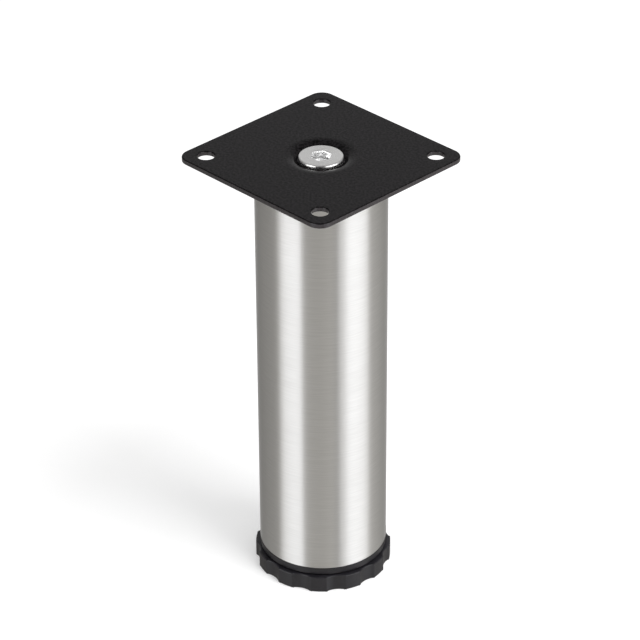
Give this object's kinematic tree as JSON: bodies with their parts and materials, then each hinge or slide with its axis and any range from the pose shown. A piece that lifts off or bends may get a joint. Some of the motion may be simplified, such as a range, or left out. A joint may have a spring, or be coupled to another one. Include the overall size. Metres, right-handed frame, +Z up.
{
  "type": "furniture leg",
  "caption": "Round brushed steel furniture leg with a square black screw-on mounting plate and a black scalloped levelling foot.",
  "frame": {"origin": "on the floor, on the leg's axis, with the foot screwed right in", "axes": "+Z up along the tube towards the mounting plate, X and Y along the plate's sides"},
  "size_m": [0.076, 0.076, 0.18],
  "materials": {
    "black_powder_coat": "fine-textured satin black powder coat",
    "zinc_steel": "bright zinc plate, turned head",
    "brushed_stainless": "fine brush lines round the tube",
    "black_plastic": "moulded, satin"
  },
  "bodies": {
    "leg": {"mounting_plate": "black_powder_coat", "plate_bolt": "zinc_steel", "top_plug": "black_plastic", "top_nut": "zinc_steel", "tube": "brushed_stainless", "bottom_plug": "black_plastic", "bottom_nut": "zinc_steel"},
    "stud": {"levelling_stud": "zinc_steel"},
    "foot": {"foot": "black_plastic"}
  },
  "joints": [
    {"name": "foot_travel", "type": "slide", "parent": "leg", "child": "stud", "axis": [0, 0, -1], "range_m": [0, 0.015]},
    {"name": "foot_turn", "type": "hinge", "parent": "stud", "child": "foot", "pos_m": [0, 0, 0.003], "axis": [0, 0, -1], "range_deg": [0, 3600]}
  ],
  "couplings": [
    {"joint": "foot_travel", "follows": "foot_turn", "m_per_rad": 0.00023873}
  ]
}
